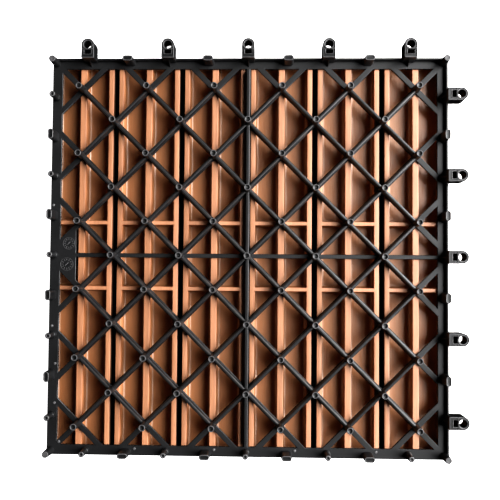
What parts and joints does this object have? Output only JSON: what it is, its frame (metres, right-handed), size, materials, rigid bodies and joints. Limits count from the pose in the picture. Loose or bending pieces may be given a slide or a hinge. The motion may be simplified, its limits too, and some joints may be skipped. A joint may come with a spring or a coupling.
{
  "type": "interlocking deck tile",
  "caption": "Square interlocking deck tile seen from below: slats clipped to a moulded diagonal grid with peg feet, with loops on two sides and pins on the others.",
  "frame": {"origin": "middle of the tile's 300 mm module, on the plane of the walking face", "axes": "+Z from the walking face to the feet, so the tile lies face down as in the picture; +X across the slats and +Y along them, both towards sides that have loops"},
  "size_m": [0.3081, 0.3081, 0.025],
  "materials": {
    "grid_plastic": "satin, as moulded",
    "slat_composite": "dull, as moulded"
  },
  "bodies": {
    "root": {"base_grid": "grid_plastic", "slat_1": "slat_composite", "slat_2": "slat_composite", "slat_3": "slat_composite", "slat_4": "slat_composite", "slat_5": "slat_composite", "slat_6": "slat_composite"}
  },
  "joints": []
}
